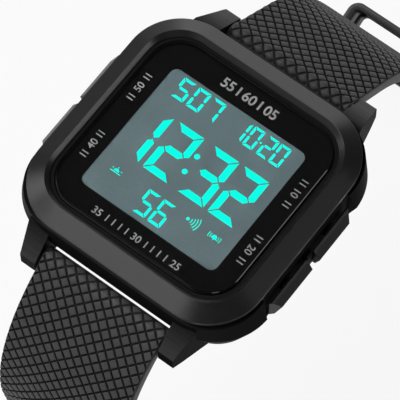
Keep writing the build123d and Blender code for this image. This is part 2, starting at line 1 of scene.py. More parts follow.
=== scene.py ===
import math
import bmesh
import bpy
import numpy as np
from mathutils import Matrix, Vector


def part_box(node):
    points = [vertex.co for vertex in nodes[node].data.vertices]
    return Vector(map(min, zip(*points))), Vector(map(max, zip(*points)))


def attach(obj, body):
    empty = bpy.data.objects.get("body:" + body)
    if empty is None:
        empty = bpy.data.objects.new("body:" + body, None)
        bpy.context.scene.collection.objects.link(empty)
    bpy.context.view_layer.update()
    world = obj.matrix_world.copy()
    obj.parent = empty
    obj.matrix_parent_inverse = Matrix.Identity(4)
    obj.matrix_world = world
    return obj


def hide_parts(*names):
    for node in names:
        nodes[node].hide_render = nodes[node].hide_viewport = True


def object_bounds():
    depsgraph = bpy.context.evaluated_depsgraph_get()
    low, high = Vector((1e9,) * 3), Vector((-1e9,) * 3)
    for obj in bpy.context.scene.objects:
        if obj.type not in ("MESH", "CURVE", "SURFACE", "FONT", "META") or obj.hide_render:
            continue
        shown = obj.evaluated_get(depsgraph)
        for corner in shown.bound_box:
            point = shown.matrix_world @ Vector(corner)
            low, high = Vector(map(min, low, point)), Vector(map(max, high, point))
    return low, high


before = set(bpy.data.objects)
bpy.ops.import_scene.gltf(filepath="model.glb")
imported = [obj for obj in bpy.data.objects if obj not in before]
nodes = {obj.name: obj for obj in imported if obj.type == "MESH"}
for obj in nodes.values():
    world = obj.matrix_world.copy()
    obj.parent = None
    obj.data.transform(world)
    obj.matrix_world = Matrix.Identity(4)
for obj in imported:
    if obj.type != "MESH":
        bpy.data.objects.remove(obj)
cadBox = [[float(v) for v in corner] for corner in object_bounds()]
scene = bpy.context.scene
mm = 0.001
print("frame loaded", len(nodes), "nodes")


# node helpers

def setInputs(tree, node, inputs):
    # each input takes a plain value or another node's output
    for key, value in inputs.items():
        if isinstance(value, bpy.types.NodeSocket):
            tree.links.new(value, node.inputs[key])
        else:
            node.inputs[key].default_value = value


def addNode(tree, kind, place, inputs=None, **settings):
    node = tree.nodes.new(kind)
    node.location = place
    for key, value in settings.items():
        setattr(node, key, value)
    setInputs(tree, node, inputs or {})
    return node


def remap(tree, place, value, fromEnds=(0, 1), toEnds=(0, 1)):
    # a value carried from one range to another and held inside it
    ends = zip(("From Min", "From Max", "To Min", "To Max"), (*fromEnds, *toEnds))
    return addNode(tree, "ShaderNodeMapRange", place, {"Value": value, **dict(ends)}).outputs["Result"]


def combine(tree, place, operation, *terms):
    return addNode(tree, "ShaderNodeMath", place, dict(enumerate(terms)), operation=operation).outputs[0]


def mixColors(tree, place, share, first, second):
    # inputs 6 and 7 and output 2 of the node are its colours
    inputs = {0: share, 6: first, 7: second}
    return addNode(tree, "ShaderNodeMix", place, inputs, data_type="RGBA").outputs[2]


def mixSurface(tree, share, first, second):
    mix = addNode(tree, "ShaderNodeMixShader", (300, 0), {"Fac": share, 1: first, 2: second})
    setInputs(tree, tree.nodes["Material Output"], {"Surface": mix.outputs["Shader"]})


def newMaterial(name):
    material = bpy.data.materials.new(name)
    material.use_nodes = True
    return material, material.node_tree, material.node_tree.nodes["Principled BSDF"]


def newGroup(name, inputs, outputs):
    # a node group with its named sockets and the nodes at its two ends
    group = bpy.data.node_groups.new(name, "ShaderNodeTree")
    for way, sockets in (("INPUT", inputs), ("OUTPUT", outputs)):
        for label, kind in sockets.items():
            group.interface.new_socket(label, in_out=way, socket_type="NodeSocket" + kind)
    return group, addNode(group, "NodeGroupInput", (-800, 0)), addNode(group, "NodeGroupOutput", (500, 0))


# effects that the finishes share

def grainGroup():
    # moulded grain: a fine and a coarse noise on Object coordinates give a height and a mottled shade
    group, start, end = newGroup("mouldedGrain", {"Grain Size": "Float", "Mottle Size": "Float"},
                                 {"Height": "Float", "Shade": "Float"})
    coords = addNode(group, "ShaderNodeTexCoord", (-800, 200)).outputs["Object"]
    fine = addNode(group, "ShaderNodeTexNoise", (-500, 150), {
        "Vector": coords, "Scale": start.outputs["Grain Size"], "Detail": 3.0}).outputs["Fac"]
    coarse = addNode(group, "ShaderNodeTexNoise", (-500, -150), {
        "Vector": coords, "Scale": start.outputs["Mottle Size"], "Detail": 2.0}).outputs["Fac"]
    half = combine(group, (-300, -200), "MULTIPLY", coarse, 0.5)
    shade = combine(group, (-100, -100), "MULTIPLY_ADD", fine, 0.5, half)
    setInputs(group, end, {"Height": fine, "Shade": shade})
    return group


def brushGroup():
    # brushed lines: a noise squeezed across the brushing and drawn out along it
    group, start, end = newGroup("brushedLines", {"Stretch": "Vector"}, {"Height": "Float"})
    coords = addNode(group, "ShaderNodeTexCoord", (-800, 200)).outputs["Object"]
    place = addNode(group, "ShaderNodeMapping", (-500, 100), {
        "Vector": coords, "Scale": start.outputs["Stretch"]}).outputs["Vector"]
    lines = addNode(group, "ShaderNodeTexNoise", (-200, 100), {
        "Vector": place, "Scale": 1000.0, "Detail": 2.0}).outputs["Fac"]
    setInputs(group, end, {"Height": lines})
    return group


def edgeGroup():
    # rounded normals along sharp edges, and a mask for a painted highlight that is light where they turn away
    # from the flat face
    group, start, end = newGroup("softEdges", {"Radius": "Float"}, {"Normal": "Vector", "Painted Highlight": "Float"})
    rounded = addNode(group, "ShaderNodeBevel", (-500, 100), {
        "Radius": start.outputs["Radius"]}, samples=4).outputs["Normal"]
    flat = addNode(group, "ShaderNodeNewGeometry", (-500, -150)).outputs["True Normal"]
    turn = addNode(group, "ShaderNodeVectorMath", (-200, 0), {0: rounded, 1: flat}, operation="DOT_PRODUCT")
    wear = remap(group, (100, 0), turn.outputs["Value"], (0.995, 0.90))
    setInputs(group, end, {"Normal": rounded, "Painted Highlight": wear})
    return group


grain = grainGroup()
brushed = brushGroup()
softEdges = edgeGroup()


# finishes: grain and mottle are noise scales, depth and edge are millimetres, and the edge highlight number
# says how many times lighter the painted highlight makes an edge

mottling = {
    # the part of the shade that changes the tone, and how far tone and roughness go either way
    "range": (0.3, 0.7), "tone": 0.18, "roughness": 0.05,
}
lugBrushing = {
    # the brushing comes on over these: distance from the middle of the case, slope, and noise in the streaks
    "reach": (20.5, 26.5), "slope": (0.3, 0.5), "streak": (0.35, 0.65),
    # the streaks' faintest share, the share on the lower half's lugs, which is a painted shade that darkens
    # them, and the stretch of the lines
    "faintest": 0.55, "shadedLowerShare": 0.8, "stretch": (0.15, 9.0, 9.0),
    "color": (0.08, 0.08, 0.082), "metal": 0.75,
}
strapResin = dict(color=(0.045, 0.045, 0.046), rough=0.55, specular=0.2, grain=6000, depth=0.01, mottle=400)
finishes = {
    "bezelResin": dict(color=(0.0078, 0.0078, 0.0081), rough=0.31, specular=0.36,
                       grain=9000, depth=0.008, mottle=900, edge=0.16, wear=2.0),
    "caseResin": dict(color=(0.0045, 0.0045, 0.005), rough=0.5, specular=0.01,
                      grain=7000, depth=0.008, mottle=700, edge=0.16, wear=3.0, lugs=lugBrushing),
    "buckleResin": dict(color=(0.008, 0.008, 0.0085), rough=0.45, specular=0.2,
                        grain=7000, depth=0.008, mottle=700, edge=0.16, wear=3.0),
    "buttonResin": dict(color=(0.0035, 0.0035, 0.0038), rough=0.3, specular=0.1,
                        grain=9000, depth=0.004, mottle=700, edge=0.22, wear=9.0),
    "strapResin": strapResin,
    "strapSkin": strapResin,
    # painted shade: darker and duller down in the grooves, where shade falls
    "paintedGrooveShade": dict(strapResin, color=(0.01125, 0.01125, 0.0115), rough=0.75, specular=0.1),
    "keeperResin": dict(strapResin, rough=0.45),
    "maskPrint": dict(color=(0.0015, 0.0015, 0.0017), rough=0.9, specular=0.0,
                      grain=4000, depth=0.0, mottle=300),
    "dialPrint": dict(color=(0.21, 0.21, 0.21), rough=0.6, specular=0.1, grain=6000, depth=0.0, mottle=800),
    "crystalRim": dict(color=(0.002, 0.002, 0.0022), rough=0.1, specular=0.4,
                       grain=6000, depth=0.0, mottle=300),
    "rubberSeal": dict(color=(0.003, 0.003, 0.003), rough=0.7, specular=0.1,
                       grain=5000, depth=0.01, mottle=500),
    "displayGrey": dict(color=(0.074, 0.106, 0.114), rough=0.55, specular=0.1,
                        grain=6000, depth=0.0, mottle=120),
    "litSegment": dict(color=(0.0, 0.05, 0.04), rough=0.6, specular=0.0, grain=3000, depth=0.0, mottle=300,
                       glow=(0.0, 1.0, 0.79), strength=1.0),
    "lightPanel": dict(color=(0.62, 0.72, 0.70), rough=0.5, specular=0.4, grain=3000, depth=0.01, mottle=300),
    "contactRubber": dict(color=(0.35, 0.33, 0.32), rough=0.6, specular=0.3,
                          grain=3000, depth=0.02, mottle=2500),
    "movementPlastic": dict(color=(0.02, 0.02, 0.02), rough=0.5, specular=0.4,
                            grain=4000, depth=0.02, mottle=500),
    "boardMask": dict(color=(0.01, 0.07, 0.025), rough=0.35, specular=0.5,
                      grain=3000, depth=0.01, mottle=900),
    "chipEpoxy": dict(color=(0.006, 0.006, 0.006), rough=0.2, specular=0.5,
                      grain=3000, depth=0.02, mottle=500),
    "brightSteel": dict(color=(0.55, 0.55, 0.56), rough=0.28, metal=1.0, grain=4000, depth=0.01, mottle=900),
    "buzzerBrass": dict(color=(0.62, 0.42, 0.16), rough=0.3, metal=1.0, grain=4000, depth=0.01, mottle=900),
    "backSteel": dict(color=(0.52, 0.52, 0.53), rough=0.32, metal=1.0, grain=5000, depth=0.0, mottle=700,
                      brush=(12.0, 0.12, 0.12), brushDepth=0.02),
}
glassLook = dict(color=(1, 1, 1, 1), rough=0.0, ior=1.45, specular=0.3)


def brushLugs(tree, look, color):
    # the mask is a face's distance from the middle of the case, times its slope, times the streaks across the
    # watch, times a painted shade that leaves the lower half's lugs darker, and it lets the brushed colour
    # and metal through
    near, far = (v * mm for v in look["reach"])
    coords = addNode(tree, "ShaderNodeTexCoord", (-1500, -600)).outputs["Object"]
    along = addNode(tree, "ShaderNodeSeparateXYZ", (-1300, -600), {0: coords}).outputs["Y"]
    away = combine(tree, (-1100, -600), "ABSOLUTE", along)
    normal = addNode(tree, "ShaderNodeNewGeometry", (-1300, -850)).outputs["True Normal"]
    faceUp = addNode(tree, "ShaderNodeSeparateXYZ", (-1100, -850), {0: normal}).outputs["Z"]
    lines = addNode(tree, "ShaderNodeGroup", (-900, -1050), {"Stretch": look["stretch"]}, node_tree=brushed)
    height = lines.outputs["Height"]
    reach = remap(tree, (-900, -600), away, (near, far))
    slope = remap(tree, (-900, -850), faceUp, look["slope"])
    streak = remap(tree, (-700, -950), height, look["streak"], (look["faintest"], 1))
    # painted shade: the lower half's lugs get a smaller share of the brushed colour and metal than the upper
    # ones
    side = remap(tree, (-900, -400), along, (-near, near), (look["shadedLowerShare"], 1))
    both = combine(tree, (-700, -700), "MULTIPLY", reach, slope)
    shade = combine(tree, (-600, -500), "MULTIPLY", side, both)
    mask = combine(tree, (-500, -750), "MULTIPLY", shade, streak)
    metal = combine(tree, (-300, -750), "MULTIPLY", mask, look["metal"])
    return mixColors(tree, (-150, 100), mask, color, (*look["color"], 1)), metal, height


def makeFinish(name, look):
    # mottled tone and sheen over a fine bump, with a painted highlight on edges, brushing with painted shade
    # on the lower lugs, or a glow where the look has them
    material, tree, shader = newMaterial(name)
    sizes = {"Grain Size": look["grain"], "Mottle Size": look["mottle"]}
    texture = addNode(tree, "ShaderNodeGroup", (-900, 0), sizes, node_tree=grain)
    shade = texture.outputs["Shade"]
    tones = addNode(tree, "ShaderNodeValToRGB", (-600, 200), {"Fac": shade})
    for stop, position, way in zip(tones.color_ramp.elements, mottling["range"], (-1, 1)):
        stop.position = position
        stop.color = [c * (1 + way * mottling["tone"]) for c in look["color"]] + [1]
    color, metal = tones.outputs["Color"], look.get("metal", 0.0)
    height, depth = texture.outputs["Height"], look["depth"]
    bump = addNode(tree, "ShaderNodeBump", (-300, -250), {"Strength": 1.0})
    if "edge" in look:
        radius = {"Radius": look["edge"] * mm}
        edges = addNode(tree, "ShaderNodeGroup", (-900, 350), radius, node_tree=softEdges)
        setInputs(tree, bump, {"Normal": edges.outputs["Normal"]})
        # painted highlight: the edges' colour is lighter where the rounded normals turn, standing in for
        # light caught on the edges
        highlighted = [c * look["wear"] for c in look["color"]] + [1]
        color = mixColors(tree, (-300, 250), edges.outputs["Painted Highlight"], color, highlighted)
    if "brush" in look:
        lines = addNode(tree, "ShaderNodeGroup", (-900, -400), {"Stretch": look["brush"]}, node_tree=brushed)
        height, depth = lines.outputs["Height"], look["brushDepth"]
    if "lugs" in look:
        color, metal, height = brushLugs(tree, look["lugs"], color)
    roughness = look["rough"] - mottling["roughness"], look["rough"] + mottling["roughness"]
    setInputs(tree, bump, {"Distance": depth * mm, "Height": height})
    setInputs(tree, shader, {
        "Base Color": color, "Metallic": metal, "Specular IOR Level": look.get("specular", 0.5),
        "Roughness": remap(tree, (-600, -50), shade, toEnds=roughness), "Normal": bump.outputs["Normal"]})
    if "glow" in look:
        setInputs(tree, shader, {"Emission Color": (*look["glow"], 1), "Emission Strength": look["strength"]})
    return material


def makeGlass(name, look):
    # clear glass whose shadow rays pass, so that the lamps reach the display under it
    material, tree, shader = newMaterial(name)
    setInputs(tree, shader, {
        "Base Color": look["color"], "Roughness": look["rough"], "IOR": look["ior"],
        "Transmission Weight": 1.0, "Specular IOR Level": look["specular"]})
    clear = addNode(tree, "ShaderNodeBsdfTransparent", (0, -300))
    paths = addNode(tree, "ShaderNodeLightPath", (-300, 300))
    mixSurface(tree, paths.outputs["Is Shadow Ray"], shader.outputs["BSDF"], clear.outputs["BSDF"])
    return material


made = {name: makeFinish(name, look) for name, look in finishes.items()}
made["clearGlass"] = makeGlass("clearGlass", glassLook)

nodeFinish = {
    "bezel": "bezelResin", "case_middle": "caseResin", "crystal": "clearGlass", "printed_mask": "maskPrint",
    "crystal_gasket": "rubberSeal", "case_back_seal": "rubberSeal", "button_seals": "rubberSeal",
    "lcd_panel": "displayGrey", "backlight_panel": "lightPanel", "display_connectors": "contactRubber",
    "module_frame": "movementPlastic", "battery_tray": "movementPlastic", "circuit_board": "boardMask",
    "chip_cover": "chipEpoxy", "buzzer_disc": "buzzerBrass", "case_back": "backSteel",
    "strap_upper": "strapResin", "strap_lower": "strapResin", "keeper_fixed": "strapResin",
    "keeper_free": "strapResin", "buckle_frame": "buckleResin", "buckle_tongue": "buckleResin",
}
for name, piece in nodes.items():
    finish = nodeFinish.get(name, "brightSteel")
    if name.startswith(("button_upper_", "button_lower_")):
        finish = "buttonResin"
    for place in piece.material_slots:
        place.material = made[finish]
print("finishes set", len(made))


# mesh helpers

def addObject(name, data):
    thing = bpy.data.objects.new(name, data)
    scene.collection.objects.link(thing)
    return thing


def newMesh(name, points, faces, materials=(), tones=0, smooth=False):
    # points are in millimetres, tones number the faces' materials, and either list may be one value for all
    mesh = bpy.data.meshes.new(name)
    mesh.from_pydata((points * mm).tolist(), [], faces)
    for finish in materials:
        mesh.materials.append(made[finish])
    mesh.polygons.foreach_set("material_index", np.full(len(faces), tones, np.int32))
    mesh.polygons.foreach_set("use_smooth", np.full(len(faces), smooth, bool))
    mesh.update()
    return mesh


def ringFaces(rows, columns, joined=False):
    # quads between neighbouring rings of points: the last ring meets the first where they are joined, and
    # otherwise a face closes each end
    index = np.arange(rows * columns).reshape(rows, columns)
    a, b = (index, np.roll(index, -1, 0)) if joined else (index[:-1], index[1:])
    quads = np.stack([a, np.roll(a, -1, 1), np.roll(b, -1, 1), b], -1).reshape(-1, 4).tolist()
    return quads if joined else quads + [index[0][::-1].tolist(), index[-1].tolist()]


def joinParts(parts):
    # the points and faces of many parts in one, each part's faces numbered on from the points before it
    points, faces, first = [], [], 0
    for partPoints, partFaces in parts:
        points.append(partPoints)
        faces += [[first + i for i in face] for face in partFaces]
        first += len(partPoints)
    return np.vstack(points), faces


def prisms(outlines, bottom, top):
    # each outline is raised into a low prism: its points, anticlockwise, at two heights
    parts = []
    for outline in outlines:
        ring = np.asarray(outline, float)
        area = np.sum(ring[:, 0] * np.roll(ring[:, 1], -1) - np.roll(ring[:, 0], -1) * ring[:, 1])
        if area < 0:
            ring = ring[::-1]
        levels = [np.column_stack([ring, np.full(len(ring), height)]) for height in (bottom, top)]
        parts.append((np.vstack(levels), ringFaces(2, len(ring))))
    return joinParts(parts)


def disc(x, y, radius, count):
    # points evenly round a circle
    turn = np.linspace(0, 2 * np.pi, count, endpoint=False)
    return np.column_stack([x + radius * np.cos(turn), y + radius * np.sin(turn)])


def dome(x, y, radius, count):
    # the upper half of a disc
    ring = disc(x, y, radius, count)
    return ring[ring[:, 1] >= y]


def bar(x, y, width, length):
    # the four corners of an upright rectangle
    return [(x - width / 2, y - length / 2), (x + width / 2, y - length / 2),
            (x + width / 2, y + length / 2), (x - width / 2, y + length / 2)]


def arc(x, y, radius, stroke, start, end, count):
    # a curved stroke as a row of short quads between two radii
    turn = np.radians(np.linspace(start, end, count + 1))
    way = np.column_stack([np.cos(turn), np.sin(turn)])
    inner, outer = (np.array([x, y]) + (radius + side * stroke / 2) * way for side in (-1, 1))
    return [[inner[i], outer[i], outer[i + 1], inner[i + 1]] for i in range(count)]


# crystal

crystalShape = {
    # room in the gasket, corner radius, points per corner and the angle over which an edge is sharp
    "seatGap": 0.1, "corner": 5.75, "perCorner": 14, "sharpOver": 25,
    # the section as (inset, height), clear of the printed mask under it
    "section": [(0.0, 11.84), (0.0, 12.62), (0.04, 12.69), (0.33, 12.98), (0.36, 13.0)],
}


def roundedRing(width, length, corner, perCorner):
    # four quarter circles joined by straight sides
    turn = np.radians(np.linspace(0, 90, perCorner))
    parts = []
    for k, (sx, sy) in enumerate(((1, 1), (-1, 1), (-1, -1), (1, -1))):
        angle = turn + k * np.pi / 2
        parts.append(np.column_stack([sx * (width / 2 - corner) + corner * np.cos(angle),
                                      sy * (length / 2 - corner) + corner * np.sin(angle)]))
    return np.vstack(parts)


def buildCrystal():
    # the same rounded outline at each inset and height of the section
    look = crystalShape
    low, high = (np.array(corner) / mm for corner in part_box("crystal"))
    size = (high - low)[:2] - look["seatGap"]
    rings = []
    for inset, height in look["section"]:
        outline = roundedRing(*(size - 2 * inset), look["corner"] - inset, look["perCorner"])
        rings.append(np.column_stack([outline, np.full(len(outline), height)]))
    columns = 4 * look["perCorner"]
    faces = ringFaces(len(rings), columns)
    # the wall and the two end faces are clear, and the bevel's rings are the rim
    rim = np.zeros(len(faces), int)
    rim[columns:-2] = 1
    mesh = newMesh("bevelledCrystal", np.vstack(rings), faces, ["clearGlass", "crystalRim"], rim, True)
    mesh.set_sharp_from_angle(angle=math.radians(look["sharpOver"]))
    piece = addObject("bevelledCrystal", mesh)
    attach(piece, "case")
    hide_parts("crystal")
    print("crystal", [round(float(v), 2) for v in size])


buildCrystal()


# display

displayLayout = {
    "largeDigits": dict(y=(-5.2, 4.35), stroke=1.2, gap=0.14, middle=-0.375,
                        cells=[("1", -12.1, -7.15), ("2", -6.25, -1.3), ("3", 0.55, 5.5), ("2", 6.3, 11.25)]),
    "dateDigits": dict(y=(7.1, 10.9), stroke=0.45, gap=0.084, middle=9.0,
                       cells=[("1", 1.4, 3.35), ("0", 3.7, 5.65), ("2", 6.4, 8.4), ("0", 8.7, 10.7)]),
    "dayDigits": dict(y=(7.2, 11.05), stroke=0.5, gap=0.084, middle=9.1,
                      cells=[("5", -10.2, -7.85), ("0", -7.3, -4.9), ("7", -4.4, -2.0)]),
    "secondDigits": dict(y=(-12.0, -7.5), stroke=0.5, gap=0.084, middle=-9.75,
                         cells=[("5", -3.0, -0.65), ("6", -0.15, 2.2)]),
}
displayMarks = {
    # dots as (x, y, radius, points)
    "dots": [(-0.45, 1.2, 0.48, 24), (-0.45, -1.95, 0.48, 24), (6.03, 9.0, 0.18, 12)],
    # rising sun: centre, radius, then its line and rays as (x, y, width, height) off the centre
    "sun": (-8.95, -8.3), "sunRadius": 0.5,
    "sunBars": [(0, -0.2, 1.9, 0.14), (0, 0.7, 0.14, 0.25),
                (-0.8, 0.35, 0.25, 0.14), (0.8, 0.35, 0.25, 0.14)],
    # sound waves: centre, the dot's radius, then the arcs' radii, stroke and degrees either way
    "waves": (4.75, -8.0), "waveDot": 0.28, "waveRadii": (0.7, 1.15, 1.6, 2.05), "waveStroke": 0.15,
    "waveTurn": 32,
    # bell: centre, dome, the skirt's spread and drop, the clapper's drop and radius, then the arcs on both
    # sides as (radius, degrees either way)
    "bell": (9.85, -8.05), "bellRadius": 0.42, "skirt": (0.13, 0.3), "clapper": (0.41, 0.12),
    "bellArcs": ((0.72, 30), (1.08, 25)), "bellStroke": 0.12,
    # how far all marks lie off the dial's centre lines, and how high they stand
    "slide": (-0.31, 0.40), "height": 0.012,
}
# the strokes that are lit for each digit
lit = {"0": "abcdef", "1": "bc", "2": "abged", "3": "abgcd", "5": "afgcd", "6": "afgcde", "7": "abc"}
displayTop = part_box("lcd_panel")[1][2] / mm


def segmentOutlines(digit, left, right, look):
    # seven strokes with mitred corners and pointed middles, each pair a small gap apart
    low, high = look["y"]
    t, g, m = look["stroke"], look["gap"], look["middle"]
    h = t / 2
    point = g + h * 0.8
    shapes = {
        "a": [(left + g, high), (right - g, high), (right - t - g, high - t), (left + t + g, high - t)],
        "d": [(left + g, low), (right - g, low), (right - t - g, low + t), (left + t + g, low + t)],
        "b": [(right, high - g), (right - t, high - t - g), (right - t, m + h + g), (right - h, m + g),
              (right, m + point)],
        "c": [(right, low + g), (right - t, low + t + g), (right - t, m - h - g), (right - h, m - g),
              (right, m - point)],
        "f": [(left, high - g), (left + t, high - t - g), (left + t, m + h + g), (left + h, m + g),
              (left, m + point)],
        "e": [(left, low + g), (left + t, low + t + g), (left + t, m - h - g), (left + h, m - g),
              (left, m - point)],
        "g": [(left + h + g, m), (left + t + g, m + h), (right - t - g, m + h), (right - h - g, m),
              (right - t - g, m - h), (left + t + g, m - h)],
    }
    return [shapes[k] for k in lit[digit]]


def pictureOutlines(look):
    # the sun is a dome with bars, the waves are arcs beside a dot, and the bell is a dome on a skirt, with a
    # clapper, between two pairs of arcs
    x, y = look["sun"]
    outlines = [dome(x, y, look["sunRadius"], 32)]
    outlines += [bar(x + aside, y + up, width, height) for aside, up, width, height in look["sunBars"]]
    x, y = look["waves"]
    outlines.append(disc(x, y, look["waveDot"], 16))
    for radius in look["waveRadii"]:
        outlines += arc(x, y, radius, look["waveStroke"], -look["waveTurn"], look["waveTurn"], 6)
    x, y = look["bell"]
    wide = look["bellRadius"]
    spread, drop = look["skirt"]
    hang, clapper = look["clapper"]
    outlines += [dome(x, y, wide, 24), disc(x, y - hang, clapper, 10),
                 [(x - wide, y), (x + wide, y), (x + wide + spread, y - drop), (x - wide - spread, y - drop)]]
    for middle in (0, 180):
        for radius, turn in look["bellArcs"]:
            outlines += arc(x, y, radius, look["bellStroke"], middle - turn, middle + turn, 5)
    return outlines


def buildDisplay():
    look = displayMarks
    outlines = [disc(*dot) for dot in look["dots"]] + pictureOutlines(look)
    for group in displayLayout.values():
        for digit, left, right in group["cells"]:
            outlines += segmentOutlines(digit, left, right, group)
    outlines = [np.asarray(outline, float) + look["slide"] for outline in outlines]
    points, faces = prisms(outlines, displayTop, displayTop + look["height"])
    piece = addObject("litDisplay", newMesh("litDisplay", points, faces, ["litSegment"]))
    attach(piece, "case")
    print("display", len(outlines), "strokes")


buildDisplay()


# printed numbers and ticks round the display

ringMarks = {
    # centre, turn in degrees, figure height, how bold, numbers and ticks as (text or None, place along)
    "top": dict(centre=(-0.15, 14.42), turn=0, size=1.7, bold=0.045, tick=0.34,
                row=[("55", -4.1), (None, -2.05), ("60", 0.0), (None, 2.05), ("05", 4.1)]),
    "leftUpper": dict(centre=(-15.18, 5.72), turn=90, size=1.22, bold=0.015, tick=0.2,
                      row=[(None, -2.5), (None, -1.85), ("50", 0.0), (None, 1.85), (None, 2.5)]),
    "leftLower": dict(centre=(-15.03, -6.42), turn=90, size=1.22, bold=0.015, tick=0.2,
                      row=[(None, -2.4), (None, -1.75), ("40", 0.0), (None, 1.75), (None, 2.4)]),
    "rightUpper": dict(centre=(15.18, 5.57), turn=-90, size=1.22, bold=0.015, tick=0.2,
                       row=[(None, -2.6), (None, -1.9), ("10", 0.0), (None, 1.9), (None, 2.6)]),
    "rightLower": dict(centre=(15.18, -6.15), turn=-90, size=1.22, bold=0.015, tick=0.2,
                       row=[(None, -2.6), (None, -1.9), ("20", 0.0), (None, 1.9), (None, 2.6)]),
    "bottom": dict(centre=(0.12, -15.0), turn=0, size=1.22, bold=0.02, tick=0.2,
                   row=[("35", -7.5)] + [(None, -5.6 + 1.25 * i) for i in range(4)] + [("30", 0.0)]
                   + [(None, 1.85 + 1.25 * i) for i in range(4)] + [("25", 7.5)]),
}
# the print's thickness, how far it is sunk in the mask, and a figure's height as a share of the font's size
printShape = {"thickness": 0.004, "sunk": 0.001, "figureShare": 0.7}
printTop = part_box("printed_mask")[1][2] / mm


def figureMesh(text, look):
    # a text curve with a little thickness, as points about its middle and faces
    curve = bpy.data.curves.new("figure", "FONT")
    curve.body = text
    curve.align_x = "CENTER"
    curve.size = look["size"] / printShape["figureShare"]
    curve.offset = look["bold"]
    curve.extrude = printShape["thickness"] / 2
    figure = addObject("figure", curve)
    bpy.context.view_layer.update()
    mesh = bpy.data.meshes.new_from_object(figure.evaluated_get(bpy.context.evaluated_depsgraph_get()))
    points = np.zeros(len(mesh.vertices) * 3)
    mesh.vertices.foreach_get("co", points)
    points = points.reshape(-1, 3)
    points[:, :2] -= (points[:, :2].min(0) + points[:, :2].max(0)) / 2
    points[:, 2] += printShape["thickness"] / 2
    bpy.data.objects.remove(figure)
    return points, [list(face.vertices) for face in mesh.polygons]


def buildRingMarks():
    parts = []
    for look in ringMarks.values():
        turn = math.radians(look["turn"])
        spin = np.array([[math.cos(turn), -math.sin(turn)], [math.sin(turn), math.cos(turn)]])
        for text, place in look["row"]:
            if text is None:
                points, faces = prisms([bar(0, 0, look["tick"], look["size"])], 0, printShape["thickness"])
            else:
                points, faces = figureMesh(text, look)
            flat = (points[:, :2] + (place, 0)) @ spin.T + look["centre"]
            lift = points[:, 2] + printTop - printShape["sunk"]
            parts.append((np.column_stack([flat, lift]), faces))
    points, faces = joinParts(parts)
    piece = addObject("ringMarks", newMesh("ringMarks", points, faces, ["dialPrint"]))
    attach(piece, "case")
    print("ring marks", len(faces), "faces")


buildRingMarks()


# strap

strapShape = {
    "width": 23.5, "thickness": 2.7, "bevel": 0.4, "topBevel": 0.15, "firstStep": 0.25, "step": 0.5,
    # round the spring bar: the barrel's reach and depth, the outer face's swell, how far that fades, and how
    # many times the grooves' share of the thickness is sunk there
    "barrel": 1.7, "underside": 2.0, "swell": 0.2, "swellFade": 1.6, "rootSink": 1.7,
    # the grooves, how far past the pads their floor comes up to the face, and the tip's rounding as
    # (distance before the end, how much thinner), which the even steps leave room for
    "grooveWidth": 0.32, "grooveDepth": 0.3, "grooveFade": (0.6, 0.1), "tipRoom": 0.4,
    "tipRounding": [(0.35, 0.0), (0.18, 0.1), (0.06, 0.28), (0.0, 0.55)],
    # the pads: bevel, depth under the grooves' floor, room to the strap's edge, the narrowest that is kept,
    # and the width from which a pad has its full crown
    "padBevel": 0.09, "padRoot": 0.06, "border": 0.12, "narrowest": 0.22, "fullWidth": 1.5,
    # the crown's rise everywhere, its extra rise at the spring bar and how far that fades
    "crown": (0.015, 0.14, 3.0),
    # the share of its whole square that keeps the points of a cut-off pad apart
    "squareShare": 0.02,
    # points along the middle line, round the barrel, round the loop's end and round a corner of the section
    "linePoints": 6001, "rootPoints": 14, "loopPoints": 10, "cornerPoints": 4,
    # degrees over which an edge is sharp where a hole is cut, and metres within which points are one
    "sharpOver": 40, "mergeWithin": 1e-7,
}
upperHalf = {
    # where the middle line starts, its fall in degrees there, and runs of (length, 0) or (radius, turn)
    "start": (25.2, 5.5), "heading": 38.0, "runs": [(12.0, 0.0), (36.0, 24.0), (260.0, 6.0), (24.55, 0.0)],
    "end": "loop", "endRadius": 1.9, "side": 1, "pads": (-2.9, 73.6),
    # the width of a pad's diagonal, then the pattern as (distance along the strap, row, column shift)
    "pitch": 2.185,
    "pattern": [(-3.4, -1.65, 0.68), (2.0, 0.416, 0.68), (6.0, 1.917, 0.707), (10.0, 3.428, 0.757),
                (14.0, 5.051, 0.898), (18.0, 6.654, 1.018), (21.0, 7.822, 1.074), (80.0, 31.0, 1.3)],
}
lowerHalf = {
    "start": (23.0, 3.9), "heading": 41.0,
    "runs": [(3.0, 0.0), (28.0, 20.0), (35.5, 36.0), (420.0, 4.2), (17.5, 78.8), (1.0, 0.0)],
    "end": "tip", "endRadius": 9.0, "side": -1, "pads": (-2.9, 90.6),
    "pitch": 2.17,
    "pattern": [(-3.4, -2.15, 0.07), (2.0, 0.338, 0.067), (6.0, 2.132, 0.089), (10.0, 3.878, 0.054),
                (14.0, 5.58, 0.058), (18.0, 7.216, 0.135), (22.0, 8.813, 0.225), (26.0, 10.374, 0.277),
                (30.0, 11.859, 0.22), (92.0, 36.0, 0.2)],
    # holes for the tongue: the first one's distance from the tip, the pitch, how many, the slot's size, how
    # far its cutter reaches and how near to it a pad is cut
    "holes": dict(first=20.0, pitch=6.2, count=8, length=3.8, width=2.6, reach=3.0, padReach=1.5),
}


def runEnds(half):
    # the runs' lengths added up: a straight run gives its length, and a curved one its radius times its turn
    lengths = [r if t == 0 else r * math.radians(t) for r, t in half["runs"]]
    return np.concatenate([[0], np.cumsum(lengths)])


